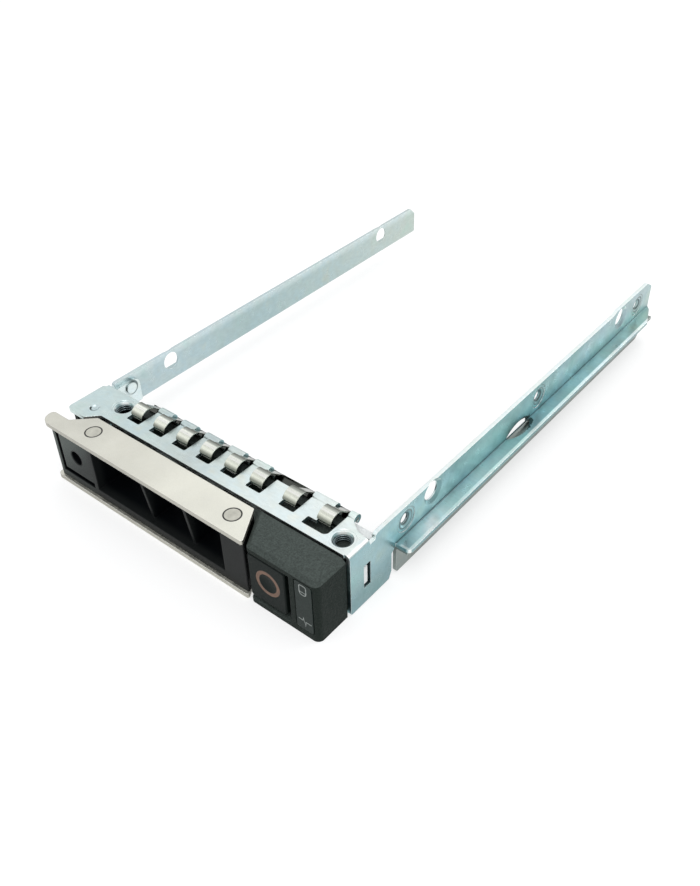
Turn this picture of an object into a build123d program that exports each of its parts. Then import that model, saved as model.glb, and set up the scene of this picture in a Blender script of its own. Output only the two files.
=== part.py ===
"""Hot swap drive caddy: a folded steel frame with two rails for a small drive,
a row of arched grounding springs, a swing handle and a push button release.

Sizes are millimetres. While modelling, X runs across the caddy with 0 midway
between the rails, Y runs rearward from the front edge of the top plate, and Z
is up with 0 at the top face of the top plate. The finished pieces are moved
together so that the origin is under the middle of the whole caddy.
"""
from build123d import *
from math import cos, radians, sin, sqrt, tan
import os

# Drive, rails and folded sheet
sheet = 0.8                    # thickness of the plated steel
drive_gap = 70.1               # between the inner faces of the rails
bend_outer = 1.0               # outside radius of a fold
bend_inner = bend_outer - sheet
fold_run = bend_outer + 0.2    # straight edge that takes the fold on each side
rail_drop = 6.9                # top of the rail to the top of its shelf
end_rise = 0.5                 # the right rail stands higher near its rear end
end_rise_run = 18.6
shelf_width = 3.25             # shelf that stands out from each rail
cage_height = 14.5             # top plate to underside of the floor
cage_depth = 9.55              # front edge of the top plate to its rolled rear
plate_left = -36.3             # left edge of the top plate
ear_front = -2.45              # front of the corner that carries the hinge pin
ear_right = -30.9
ear_slope_end = -28.5
running_gap = 0.05             # radial play of every hinge
seat_gap = 0.3                 # play between pieces that pass each other

# Places along the side of the cage, front to rear
side_front = 0.2
side_rear = cage_depth + 2.3
side_chamfer = 1.6
fold_end = cage_depth - 3.55   # rear end of the fold between top and side
rail_step = fold_end + 1.2     # where the rail rises behind the relief
shelf_start = side_rear + 1.15
tab_step = cage_depth - 0.55   # rear edge of the floor
tab_rear = tab_step + 5.7      # rear end of the tab, where the drive begins
tab_drop = 1.0                 # top of the tab below the top of the left rail
rail_start = tab_step - 0.35   # front end of the left rail
snap_y = fold_end - 2.15
snap_width = 1.9
snap_top = 5.2
snap_height = 5.55

# Drive screw holes and small dimples in the rails
drive_hole_y = 24.4            # front hole
drive_hole_pitch = 76.6        # front hole to rear hole
drive_hole_drop = 2.45         # below the top edge
drive_hole_bore = 4.0
drive_hole_rim = 5.6
sink_depth = 0.5               # depth of the countersunk part
rail_end = drive_hole_y + drive_hole_pitch + 16.1
dimple_start = drive_hole_y - 8.3
dimple_last = drive_hole_y + drive_hole_pitch + 8.7
dimple_pitch = (dimple_last - dimple_start) / 2
dimple_drop = 3.25
dimple_rim = 3.8
dimple_bore = 2.0
dimple_coin = 5.2              # shallow round step about each dimple
coin_depth = 0.1
lens_y = drive_hole_y + drive_hole_pitch * 0.4
lens_length = 9.2
lens_half = 1.7                # half width of the opening on each face

# Windows and grounding springs
window_front = 2.6
window_width = 3.65
window_first = -23.75
window_pitch = 6.6
window_count = 6
window_wide = 17.4             # left edge of the seventh window
last_left = 25.55              # left edge of the eighth window behind its notch
last_right = 29.3
last_front = 1.7
last_notch = 1.85              # how far the notch of the eighth window runs left
last_notch_rear = 3.6
web_ear = 0.85                 # lobe of each web beyond the next window's edge
wide_web_rear = cage_depth - 2.25
curl_outer = 1.0               # rolled rear end of each web
curl_inner = 0.4
curl_drop = 0.45               # centre of the roll below the top face
finger_width = 3.15
finger_overlap = 0.35          # how far each finger covers the web at its left
finger_radius = 2.2
finger_centre_drop = 0.8
finger_slope = 40              # degrees, straight leg behind the arch
finger_leg_inset = 1.35        # the leg is narrower, to pass the lobe
finger_foot = 0.35             # front of the arch ends this far below the top plate
finger_tip_drop = 1.2
strip_thickness = 0.2
spine_gap = 0.35               # between the rolled ends and the spine
lip_depth = 1.7

# Threaded collars in the top plate
collar_bore = 3.3
collar_rim = 4.1
collar_coin = 4.9              # shallow round step about each collar
collar_depth = 2.2
left_collar = (-26.95, 4.6)
right_collar = (32.1, 2.9)

# Handle and its hinge
pin_x = -31.6
pin_y = 0.9
pin_diameter = 2.3
pin_dish = 0.35                # depth of the dish in the end of the pin
handle_front = -8.27
handle_rear = -0.9
handle_left = -37.4
handle_bottom_left = -36.1
handle_notch_y = -4.87         # rear edge of the nose
handle_notch_x = -32.5
handle_slope_x = -28.3         # where the slope meets the rear edge
handle_right_rear = 14.9
handle_right_front = 19.1
handle_plate = 0.95
handle_bottom = cage_height - 0.1
insert_front = -7.65
insert_left = -35.15
duct_left = -23.0
duct_right = 12.8
duct_top = 2.0
duct_bottom = handle_bottom - 2.8
vane_thickness = 0.7
vane_rake = 1.3
vane_positions = (-8.5, 3.0)
groove_width = 1.1
groove_depth = 1.2
groove_left = -34.1
groove_top = 1.6
groove_bottom = handle_bottom - 2.5
groove_run = 1.3               # height of the groove's lower run
groove_right = -24.1
recess_x = -28.45
recess_drop = 6.2
recess_radius = 1.6
recess_depth = 2.6
rivet_head = 3.3
rivet_shank = 2.0
rivet_head_depth = 0.6
rivet_xs = (-25.4, 12.95)
rivet_y = -4.35

# Black front housing
plate_clearance = 0.1          # housing inside the steel cage
housing_top = 0.3
housing_bottom = cage_height + 0.2
housing_front = -8.0
housing_rear = -0.4
housing_left_front = 19.6
housing_left_rear = 15.3
housing_corner = 1.3
housing_chamfer = 0.8
tray_top = cage_height - sheet - plate_clearance - 1.1
tray_rear = tab_step
tray_front = 0.3
core_left = 14.2
core_top = 2.7
core_rear = tray_rear - 0.8
rib_thickness = 1.0
beam_top = 2.05                # cross beam behind the windows
beam_bottom = 5.8
beam_front = tray_rear - 2.6
rib_top = 3.5                  # tops of the ribs below the top plate
pocket_right = 29.2
pocket_top = 2.0
pocket_bottom = housing_bottom - 0.8
pocket_rear = -3.2
chamber_left = 17.2
chamber_right = 27.6
chamber_front = -3.6
chamber_rear = core_rear - 2.0
chamber_bottom = housing_bottom - 3.5
chamber_top = chamber_bottom - 6.6

# Release button and latch
lever_x = 19.8
lever_y = chamber_rear - 2.2
lever_bottom = chamber_bottom - 0.4
lever_top = lever_bottom - 3.2
lever_knuckle = 1.7
lever_half_width = 0.5
lever_nose = -3.3
lever_nose_rear = -2.2
lever_nose_left = 18.9
lever_tail = 26.4
lever_tail_half = 0.8
lever_pin = 1.6
button_left = 19.35
button_right = 27.9
button_top = 2.6
button_bottom = pocket_bottom - 0.9
button_front = -7.8
button_depth = 2.9
button_corner = 0.6
button_travel = 1.2
stem_left = 22.4
stem_right = 25.8
nub_left = 25.0
nub_rear = lever_y - lever_tail_half - seat_gap
stem_rear = nub_rear - 1.4
ring_outer = 2.8
ring_inner = 2.05
ring_depth = 0.3
ring_x = (button_left + button_right) / 2 + 0.25
ring_drop = (button_top + button_bottom) / 2 - 0.25
thumb_dish = 0.3               # depth of the dish inside the ring
spring_outer = 1.0
spring_wire = 0.35
spring_drop = lever_top - spring_outer - 0.4
spring_front = -1.0
spring_bore = 1.25

# Knuckles and keeper of the handle
knuckle_radius = 2.35
knuckle_height = 3.0
knuckle_top = 1.2
fork_bottom = tray_top - 0.4
keeper_tip = lever_nose_left - seat_gap
keeper_front = -1.9
keeper_thickness = 1.0
keeper_top = lever_top + 0.4
keeper_height = 2.5

# Indicator window and light guides
window_left = 30.5
window_right = 34.25
window_top = 1.6
window_bottom = housing_bottom - 1.6
window_depth = 0.8
window_groove = 0.2
window_corner = 0.5
guide_x = 32.2
guide_width = 2.2
guide_height = 1.8
guide_drops = (4.0, chamber_bottom - 0.2)

# Right lower guide and the rivet at the left
lower_guide_front = shelf_start + 0.3
lower_guide_rear = rail_end - 2.8
lower_guide_bottom = cage_height + 0.05
lower_flange = 2.45
clinch_y = tab_rear - 2.4
clinch_drop = tab_drop + 1.6
clinch_head = 2.7
clinch_shank = 1.6

inner_x = drive_gap / 2
outer_x = inner_x + sheet
shelf_x = outer_x + shelf_width
floor_bottom = -cage_height
floor_top = floor_bottom + sheet
curl_y = cage_depth - curl_outer
finger_y = curl_y - 2.4        # middle of the arch of each finger


def outline(corners):
    """Closed face from corners given as (x, y, corner radius)."""
    points = [(x, y) for x, y, _ in corners]
    radii = [radius for _, _, radius in corners]
    return make_face(FilletPolyline(*points, radius=radii, close=True))


def flat(corners, low, high):
    """Piece cut from a plan outline, lying between two heights."""
    return extrude(Plane.XY.offset(low) * outline(corners), amount=high - low)


def across(corners, low, high):
    """Piece cut from a side outline of (y, z) corners, between two X places."""
    return extrude(Plane.YZ.offset(low) * outline(corners), amount=high - low)


def along(corners, low, high):
    """Piece cut from a section of (x, z) corners, between two Y places."""
    plane = Plane(origin=(0, high, 0), x_dir=(1, 0, 0), z_dir=(0, -1, 0))
    return extrude(plane * outline(corners), amount=high - low)


def slab(x_span, y_span, z_span):
    """Rectangular block between three pairs of places."""
    spans = (x_span, y_span, z_span)
    middle = [(low + high) / 2 for low, high in spans]
    sizes = [high - low for low, high in spans]
    return Pos(*middle) * Box(*sizes)


def upright(x, y, radius, low, high):
    """Cylinder that stands along Z."""
    return Pos(x, y, (low + high) / 2) * Cylinder(radius, high - low)


def drilled(y, z, radius, low, high):
    """Cylinder that lies along X."""
    plane = Plane(origin=(low, y, z), z_dir=(1, 0, 0))
    return plane * Cylinder(radius, high - low, align=(Align.CENTER, Align.CENTER, Align.MIN))


def forward(x, z, radius, low, high):
    """Cylinder that lies along Y."""
    plane = Plane(origin=(x, high, z), z_dir=(0, -1, 0))
    return plane * Cylinder(radius, high - low, align=(Align.CENTER, Align.CENTER, Align.MIN))


def sunk_hole(y, drop, rim, bore):
    """Cutter for a hole in the right rail, countersunk from its outer face."""
    plane = Plane(origin=(outer_x - sink_depth, y, -drop), z_dir=(1, 0, 0))
    cone = plane * Cone(bore / 2, rim / 2, sink_depth, align=(Align.CENTER, Align.CENTER, Align.MIN))
    return cone + drilled(y, -drop, bore / 2, inner_x - sheet, outer_x)


def rail_holes():
    """Cutters for the two drive screws of one rail."""
    cutters = []
    for step in range(2):
        y = drive_hole_y + step * drive_hole_pitch
        cutters.append(sunk_hole(y, drive_hole_drop, drive_hole_rim, drive_hole_bore))
    return cutters


def shelf_fold(start, plan):
    """Fold at the foot of a rail with the shelf that stands out from it."""
    shelf_top = -rail_drop
    section = along([
        (inner_x, shelf_top + fold_run, 0),
        (outer_x, shelf_top + fold_run, 0),
        (outer_x, shelf_top, bend_inner),
        (shelf_x, shelf_top, 0),
        (shelf_x, shelf_top - sheet, 0),
        (inner_x, shelf_top - sheet, bend_outer),
    ], start, rail_end)
    return section & flat(plan, shelf_top - sheet, shelf_top + fold_run)


def top_fold():
    """Fold that joins the top plate to the side plate, for the right side."""
    return [
        (outer_x - fold_run, 0, 0),
        (outer_x, 0, bend_outer),
        (outer_x, -fold_run, 0),
        (inner_x, -fold_run, 0),
        (inner_x, -sheet, bend_inner),
        (outer_x - fold_run, -sheet, 0),
    ]


def curl(low, high):
    """Rolled rear end of a web, which rises over the top face and turns down and under."""
    ring = Circle(curl_outer) - Circle(curl_inner)
    ring -= Pos(-curl_outer / 2, -curl_outer / 2) * Rectangle(curl_outer, curl_outer)
    plane = Plane(origin=(low, curl_y, -curl_drop), x_dir=(0, 1, 0), z_dir=(1, 0, 0))
    return extrude(plane * ring, amount=high - low)


def window_lefts():
    """Left edges of the windows that share one shape."""
    lefts = [window_first + step * window_pitch for step in range(window_count)]
    return lefts + [window_wide]


def finger_lefts():
    """Left edges of all the spring fingers, each a little left of its window."""
    return [left - finger_overlap for left in window_lefts() + [last_left]]


def top_plate():
    """Top plate with its hinge corner, windows, webs and arm."""
    edge = outer_x - fold_run
    plate_rear = curl_y - (curl_outer + curl_inner) / 2
    plate = flat([
        (plate_left, ear_front, 1.2),
        (ear_right, ear_front, 0.6),
        (ear_slope_end, 0, 0.6),
        (edge, 0, 0),
        (edge, fold_end - 0.4, 0),
        (last_right + 3.5, fold_end, 0.8),
        (last_right + 1.5, plate_rear - 0.3, 0.4),
        (last_right + 1.5, plate_rear, 0),
        (plate_left + 0.7, plate_rear, 0.3),
        (plate_left + 0.7, fold_end + 1.3, 0.2),
        (plate_left, fold_end + 1.0, 0.5),
    ], -sheet, 0)
    for left in window_lefts():
        plate -= flat([
            (left, window_front, 0.3),
            (left + window_width, window_front, 0.3),
            (left + window_width, cage_depth, 0),
            (left, cage_depth, 0),
        ], -2 * sheet, sheet)
    plate -= flat([
        (last_left - last_notch, last_front, 0.2),
        (last_right, last_front, 1.0),
        (last_right, cage_depth, 0),
        (last_left, cage_depth, 0),
        (last_left, last_notch_rear, 0.2),
        (last_left - last_notch, last_notch_rear, 0.2),
    ], -2 * sheet, sheet)
    narrow_right = window_lefts()[-2] + window_width
    plate -= slab((narrow_right - 0.1, window_wide + 0.1), (wide_web_rear, cage_depth), (-2, 1))
    return plate


def web_ends():
    """Lobes and rolled ends of the webs between the windows."""
    lefts = window_lefts()
    spans = []
    for here, after in zip(lefts[:-2], lefts[1:-1]):
        spans.append((here + window_width, after + web_ear, after))
    spans.append((window_wide + window_width, last_left + web_ear * 0.7, last_left))
    pieces = []
    front = curl_y - (curl_outer + curl_inner) / 2
    for low, high, edge in spans:
        pieces.append(curl(low, high))
        pieces.append(flat([
            (edge - 0.5, front - 0.9, 0),
            (edge, front - 0.9, 0),
            (high, front - 0.25, 0.2),
            (high, front, 0),
            (edge - 0.5, front, 0),
        ], -sheet, 0))
    pieces.append(curl(last_right, last_right + 1.5))
    return pieces


def side_and_rail():
    """Side plate and right rail, cut from one sheet in one plane."""
    return across([
        (side_front, -fold_run, 0),
        (side_front, floor_bottom, 0.3),
        (side_rear - side_chamfer * 0.5, floor_bottom, 0.2),
        (side_rear, floor_bottom + side_chamfer, 0.3),
        (side_rear, -rail_drop - 1.6, 0.2),
        (shelf_start, -rail_drop - 0.6, 0),
        (shelf_start, -rail_drop + fold_run, 0),
        (rail_end, -rail_drop + fold_run, 0),
        (rail_end, -1.1, 0.8),
        (rail_end - 2.7, end_rise, 0.8),
        (rail_end - end_rise_run, end_rise, 0),
        (rail_end - end_rise_run - 3 * end_rise, 0, 0),
        (rail_step, 0, 0.8),
        (rail_step, -fold_run, 0.2),
    ], inner_x, outer_x)


def lens_cut():
    """Lens shaped cutter that opens the fold between rail and shelf on both its faces."""
    arc_radius = (lens_length ** 2 / 4 + lens_half ** 2) / (2 * lens_half)
    shift = arc_radius - lens_half
    lens = (Pos(0, shift) * Circle(arc_radius)) & (Pos(0, -shift) * Circle(arc_radius))
    wall_plane = Plane(origin=(inner_x, lens_y, -rail_drop), x_dir=(0, 1, 0), z_dir=(1, 0, 0))
    shelf_plane = Plane(origin=(outer_x, lens_y, -rail_drop - sheet), x_dir=(0, 1, 0), z_dir=(0, 0, 1))
    wall_cut = extrude(wall_plane * lens, amount=sheet)
    return wall_cut + extrude(shelf_plane * lens, amount=sheet)


def frame_sheet():
    """Top plate, side plate, right rail and shelf folded from one sheet."""
    left_side = slab((plate_left, plate_left + sheet), (1.0, rail_step - 0.6), (floor_top, -fold_run))
    shift = plate_left + outer_x
    left_fold = Pos(shift, 0, 0) * mirror(along(top_fold(), 1.0, rail_step - 0.6), about=Plane.YZ)
    body = top_plate() + web_ends()
    body += side_and_rail()
    body += along(top_fold(), side_front, fold_end - 0.4)
    body += shelf_fold(shelf_start, [
        (inner_x, shelf_start, 0),
        (shelf_x, shelf_start, 1.0),
        (shelf_x, rail_end - 7, 0),
        (shelf_x - 2.2, rail_end - 1.3, 0.4),
        (outer_x, rail_end, 0),
        (inner_x, rail_end, 0),
    ])
    body += [left_side, left_fold]
    for x, y in (left_collar, right_collar):
        body += upright(x, y, collar_rim / 2, -collar_depth, -sheet)
        cone = Cone(collar_bore / 2, collar_rim / 2, sheet, align=(Align.CENTER, Align.CENTER, Align.MAX))
        body -= Pos(x, y, 0) * cone
        body -= upright(x, y, collar_bore / 2, -collar_depth, 0)
        body -= upright(x, y, collar_coin / 2, -coin_depth, 0)
    body -= upright(pin_x, pin_y, pin_diameter / 2, -sheet, 0)
    body -= rail_holes()
    for step in range(3):
        y = dimple_start + step * dimple_pitch
        body -= sunk_hole(y, dimple_drop, dimple_rim, dimple_bore)
        body -= drilled(y, -dimple_drop, dimple_coin / 2, outer_x - coin_depth, outer_x)
    snap_low = -snap_top - snap_height
    body -= slab((inner_x - 1, outer_x + 1), (snap_y, snap_y + snap_width), (snap_low, -snap_top))
    body -= lens_cut()
    return body


def left_rail():
    """Separate left rail, a plain angle with its shelf turned outward."""
    wall = across([
        (rail_start, -rail_drop + fold_run, 0),
        (rail_end - 0.5, -rail_drop + fold_run, 0),
        (rail_end - 0.5, -1.8, 0.5),
        (rail_end - 2.3, 0, 0.5),
        (rail_start, 0, 0.8),
    ], inner_x, outer_x)
    plan = [
        (inner_x, rail_start, 0),
        (outer_x, rail_start, 0),
        (shelf_x, rail_start + 4.35, 1.0),
        (shelf_x, rail_end - 7, 0),
        (shelf_x - 2.2, rail_end - 1.3, 0.4),
        (outer_x, rail_end - 0.5, 0),
        (inner_x, rail_end - 0.5, 0),
    ]
    body = wall + shelf_fold(rail_start, plan)
    body -= rail_holes()
    body -= drilled(clinch_y, -clinch_drop, clinch_shank / 2, inner_x - 1, outer_x + 1)
    return mirror(body, about=Plane.YZ)


def cage_floor():
    """Bottom plate of the cage with the upright tab that carries the left rail."""
    floor = flat([
        (plate_left, ear_front, 1.2),
        (ear_right, ear_front, 0.6),
        (ear_slope_end, 0, 0.6),
        (inner_x, 0, 0),
        (inner_x, tab_step, 0),
        (-inner_x + fold_run, tab_step, 0),
        (-inner_x + fold_run, fold_end, 0),
        (-inner_x, fold_end, 0),
        (plate_left, fold_end, 0.5),
    ], floor_bottom, floor_top)
    fold = along([
        (-inner_x, floor_bottom, bend_outer),
        (-inner_x + fold_run, floor_bottom, 0),
        (-inner_x + fold_run, floor_top, 0),
        (-inner_x + sheet, floor_top, bend_inner),
        (-inner_x + sheet, floor_bottom + fold_run, 0),
        (-inner_x, floor_bottom + fold_run, 0),
    ], fold_end, tab_step)
    tab = across([
        (fold_end, floor_bottom + fold_run, 0),
        (tab_step, floor_bottom + fold_run, 0),
        (tab_step, -rail_drop, 0.8),
        (tab_rear, -rail_drop, 0.5),
        (tab_rear, -tab_drop, 1.6),
        (tab_step + 0.5, -tab_drop, 0.1),
        (tab_step + 0.5, -sheet - seat_gap, 0),
        (fold_end, -sheet - seat_gap, 0.5),
    ], -inner_x, -inner_x + sheet)
    body = floor + fold + tab
    body -= upright(pin_x, pin_y, pin_diameter / 2, floor_bottom, floor_top)
    body -= drilled(clinch_y, -clinch_drop, clinch_shank / 2, -inner_x - 1, -inner_x + 1)
    return body


def rail_rivet():
    """Low headed rivet that joins the left rail to the tab."""
    head_face = -inner_x + sheet
    head = drilled(clinch_y, -clinch_drop, clinch_head / 2, head_face, head_face + 0.3)
    return head + drilled(clinch_y, -clinch_drop, clinch_shank / 2, -outer_x, head_face)


def lower_guide():
    """Angle under the right shelf whose wall runs down beside the drive."""
    top = -rail_drop - sheet
    wall = across([
        (lower_guide_front, top - fold_run, 0),
        (lower_guide_front, -lower_guide_bottom, 0.6),
        (lower_guide_rear, -lower_guide_bottom, 1.8),
        (lower_guide_rear, top - fold_run, 0),
    ], inner_x, outer_x)
    fold = along([
        (outer_x, top - fold_run, 0),
        (inner_x, top - fold_run, 0),
        (inner_x, top, bend_outer),
        (outer_x + lower_flange, top, 0),
        (outer_x + lower_flange, top - sheet, 0),
        (outer_x, top - sheet, bend_inner),
    ], lower_guide_front, lower_guide_rear)
    return wall + fold


def arch(low, high, front, rear, above):
    """Arched part of a finger between two Y places, above a height."""
    ring = Circle(finger_radius) - Circle(finger_radius - strip_thickness)
    floor = finger_centre_drop + above
    height = finger_radius - floor
    window = Pos((front + rear) / 2 - finger_y, floor + height / 2) * Rectangle(rear - front, height)
    plane = Plane(origin=(low, finger_y, -finger_centre_drop), x_dir=(0, 1, 0), z_dir=(1, 0, 0))
    return extrude(plane * (ring & window), amount=high - low)


def spring_strip():
    """Strip of arched spring fingers on one spine that hooks under the rolled web ends."""
    slope = tan(radians(finger_slope))
    arch_rear = finger_y + finger_radius * sin(radians(finger_slope))
    arch_top = finger_radius * cos(radians(finger_slope)) - finger_centre_drop
    spine_y = cage_depth + spine_gap
    spine_outer = spine_y + strip_thickness
    leg_foot = arch_top - (spine_outer - arch_rear) * slope
    deep = strip_thickness / cos(radians(finger_slope))
    lip_top = -curl_drop - curl_outer - 0.1
    lip_low = lip_top - strip_thickness
    lefts = finger_lefts()
    length_end = lefts[-1] + finger_width
    body = across([
        (spine_outer, leg_foot, 0),
        (spine_outer, lip_low, 0),
        (spine_outer - lip_depth, lip_low, 0),
        (spine_outer - lip_depth, lip_top, 0),
        (spine_y, lip_top, 0),
        (spine_y, leg_foot - deep, 0),
    ], lefts[0], length_end)
    shoulder = finger_y + 1.0
    reach = sqrt(finger_radius ** 2 - (finger_centre_drop - finger_foot) ** 2)
    front = finger_y - reach
    for left in lefts:
        right = left + finger_width
        foot_left = left + finger_overlap + 0.15
        body += arch(left, right, front, shoulder, 0.05)
        body += arch(foot_left, right, finger_y - finger_radius, finger_y, -finger_foot)
        body += arch(left + finger_leg_inset, right, shoulder, arch_rear, 0.05)
        body += across([
            (arch_rear - 0.1, arch_top + 0.1 * slope, 0),
            (spine_outer, leg_foot, 0),
            (spine_y, leg_foot - deep, 0),
            (arch_rear - 0.1, arch_top + 0.1 * slope - deep, 0),
        ], left + finger_leg_inset, right)
        body += across([
            (front, 0.1 - finger_foot, 0),
            (front + strip_thickness, 0.1 - finger_foot, 0),
            (front + strip_thickness + 0.5, -finger_tip_drop, 0),
            (front + 0.5, -finger_tip_drop, 0),
            (front, -finger_foot, 0),
        ], foot_left, right)
    return body


def front_housing():
    """Black moulding: front block, tray inside the cage, cheek, ribs and snap lug."""
    right = inner_x + 0.4
    block = flat([
        (housing_left_front, housing_front, 1.0),
        (right, housing_front, housing_corner),
        (right, housing_rear, 0),
        (housing_left_rear, housing_rear, 0),
    ], -housing_bottom, -housing_top)
    rim = block.faces().sort_by(Axis.Z)[-1].edges()
    rim = rim.filter_by(lambda edge: edge.center().Y < housing_rear - 0.5 and edge.center().X > core_left + 4)
    block = chamfer(rim, housing_chamfer)
    inside = inner_x - plate_clearance
    tray_low = floor_top + plate_clearance
    inset = plate_clearance
    tray = flat([
        (plate_left + inset, ear_front + inset, 1.1),
        (ear_right - inset, ear_front + inset, 0.5),
        (ear_slope_end - inset, tray_front, 0.5),
        (inside, tray_front, 0),
        (inside, tray_rear, 0),
        (-inner_x + sheet + 0.3, tray_rear, 0),
        (-inner_x + sheet + 0.3, 0.6, 0),
        (plate_left + inset, 0.6, 0),
    ], tray_low, -tray_top)
    cheek = slab((plate_left + inset, plate_left + 1.1), (ear_front + 1.2, 0.6),
                 (-tray_top, -sheet - inset))
    core = slab((core_left, inside), (tray_front, core_rear), (-tray_top, -core_top))
    neck = slab((housing_left_rear + 0.4, inside), (housing_rear, tray_front), (tray_low, -core_top))
    body = block + tray + cheek + neck + core
    for x in (duct_left - 1.5, *vane_positions):
        body += slab((x, x + rib_thickness), (tray_front + 0.3, tray_rear - 0.8),
                     (-tray_top, -rib_top))
    beam_left = -inner_x + sheet + seat_gap
    body += slab((beam_left, core_left), (beam_front, tray_rear - 0.2), (-beam_bottom, -beam_top))
    body += slab((beam_left, beam_left + 2.0), (beam_front, tray_rear - 0.2), (-tray_top, -beam_top))
    body += slab((core_left - 0.5, inside), (beam_front, tray_rear - 0.2), (-beam_bottom, -beam_top))
    snap_low = -snap_top - snap_height + 0.3
    body += along([
        (inside, -snap_top - 0.3, 0),
        (outer_x - 0.2, -snap_top - 0.8, 0),
        (outer_x - 0.2, snap_low + 0.5, 0),
        (inside, snap_low, 0),
    ], snap_y + 0.15, snap_y + 1.2)
    body -= slab((core_left - 2, pocket_right), (housing_front - 1, pocket_rear),
                 (-pocket_bottom, -pocket_top))
    body -= slab((chamber_left, chamber_right), (chamber_front, chamber_rear),
                 (-chamber_bottom, -chamber_top))
    body -= slab((core_left - 2, lever_nose_left + 0.2), (housing_front - 1, keeper_front + keeper_thickness + 0.35),
                 (-keeper_top - keeper_height - seat_gap, -keeper_top + seat_gap))
    body -= upright(lever_x, lever_y, lever_pin / 2, -chamber_bottom - 0.8, -core_top)
    body -= upright(pin_x, pin_y, pin_diameter / 2, tray_low, -tray_top)
    body -= window_block(window_groove)
    for drop in guide_drops:
        body -= guide_block(drop, plate_clearance / 2, housing_front + window_depth, tray_rear)
    return body


def guide_block(drop, grow, front, rear):
    """Rectangular bar along Y at one of the two light guides."""
    half_x = guide_width / 2 + grow
    half_z = guide_height / 2 + grow
    return slab((guide_x - half_x, guide_x + half_x), (front, rear), (-drop - half_z, -drop + half_z))


def light_guide(drop):
    """Clear bar that carries light from the rear to the indicator window."""
    return guide_block(drop, 0, housing_front + window_depth, core_rear + 0.8)


def window_block(grow):
    """Rounded block of the indicator window, grown by a gap on every side."""
    corner = window_corner + grow
    return along([
        (window_left - grow, -window_top + grow, corner),
        (window_right + grow, -window_top + grow, corner),
        (window_right + grow, -window_bottom - grow, corner),
        (window_left - grow, -window_bottom - grow, corner),
    ], housing_front, housing_front + window_depth)


def indicator_window():
    """Dark window set flush in the front of the housing."""
    return window_block(0)


def release_button():
    """Push button with a hollow stem and a nub that works the latch lever."""
    cap = along([
        (button_left, -button_top, button_corner),
        (button_right, -button_top, button_corner),
        (button_right, -button_bottom, button_corner),
        (button_left, -button_bottom, button_corner),
    ], button_front, button_front + button_depth)
    rim = cap.faces().sort_by(Axis.Y)[0].edges()
    cap = chamfer(rim, 0.2)
    stem = slab((stem_left, stem_right), (button_front + button_depth, stem_rear),
                (-chamber_bottom + 0.6, -chamber_top - 0.3))
    nub = slab((nub_left, stem_right), (stem_rear, nub_rear), (-lever_bottom + 0.8, -lever_top - 0.4))
    body = cap + stem + nub
    middle = (stem_left + stem_right) / 2
    body -= forward(middle, -spring_drop, spring_bore, spring_front - button_travel - seat_gap, stem_rear)
    rim = ring_inner - 0.1
    ball = (rim ** 2 + thumb_dish ** 2) / (2 * thumb_dish)
    body -= Pos(ring_x, button_front - ball + thumb_dish, -ring_drop) * Sphere(ball)
    body -= button_groove()
    return body


def button_groove():
    """Shallow ring groove in the face of the button."""
    outer = forward(ring_x, -ring_drop, ring_outer, button_front, button_front + ring_depth)
    return outer - forward(ring_x, -ring_drop, ring_inner, button_front, button_front + ring_depth)


def button_ring():
    """Copper coloured ring inlaid flush in the button."""
    return button_groove()


def coil(centre, axis, radius, wire, length, turns):
    """Coil spring of round wire, from a start point along an axis."""
    plane = Plane(origin=centre, z_dir=axis)
    path = plane * Helix(pitch=length / turns, height=length, radius=radius)
    start = Plane(origin=path @ 0, z_dir=path % 0)
    section = start * RegularPolygon(wire / 2, 6)
    return sweep(section, path=path, is_frenet=True)


def button_spring():
    """Return spring of the button, drawn at its pressed length."""
    middle = (stem_left + stem_right) / 2
    wire = spring_wire
    front = spring_front + wire / 2
    length = chamber_rear - wire - spring_front
    return coil((middle, front, -spring_drop), (0, 1, 0), spring_outer - wire / 2, wire, length, 7)


def latch_lever():
    """Bell crank: the nose beside the handle's keeper, the tail behind the button's nub."""
    low = -lever_bottom
    high = -lever_top
    body = upright(lever_x, lever_y, lever_knuckle, low, high)
    body += slab((lever_x - lever_half_width, lever_x + lever_half_width), (lever_nose, lever_y), (low, high))
    body += flat([
        (lever_nose_left, lever_nose_rear, 0),
        (lever_nose_left, lever_nose + 0.3, 0),
        (lever_x, lever_nose, 0),
        (lever_x, lever_nose_rear, 0),
    ], low, high)
    body += flat([
        (lever_x, lever_y - lever_tail_half, 0),
        (lever_tail, lever_y - lever_tail_half, 0.3),
        (lever_tail, lever_y + lever_tail_half, 0.5),
        (lever_x, lever_y + lever_tail_half, 0),
    ], low, high)
    body -= upright(lever_x, lever_y, lever_pin / 2 + running_gap, low, high)
    return body


def latch_pin():
    """Pin on which the latch lever turns."""
    return upright(lever_x, lever_y, lever_pin / 2, -chamber_bottom - 0.8, -core_top)


def handle_outline(left, front_corner):
    """Plan of a handle plate with its nose at the left."""
    return [
        (left, handle_notch_y, 0.85),
        (handle_notch_x, handle_notch_y, 0.5),
        (handle_slope_x, handle_rear, 0.4),
        (handle_right_rear, handle_rear, 0.3),
        (handle_right_front, handle_front, 0.4),
        (left, handle_front, front_corner),
    ]


def riveted(body, low, high):
    """Body with the holes of both handle rivets cut through it."""
    for x in rivet_xs:
        body -= upright(x, rivet_y, rivet_shank / 2, low, high)
    return body


def handle_top_plate():
    """Steel plate on top of the handle, with sunk seats for its two rivets."""
    body = flat(handle_outline(handle_left, 2.4), -handle_plate, 0)
    for x in rivet_xs:
        body -= upright(x, rivet_y, rivet_head / 2, -rivet_head_depth, 0)
    return riveted(body, -handle_plate, 0)


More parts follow.
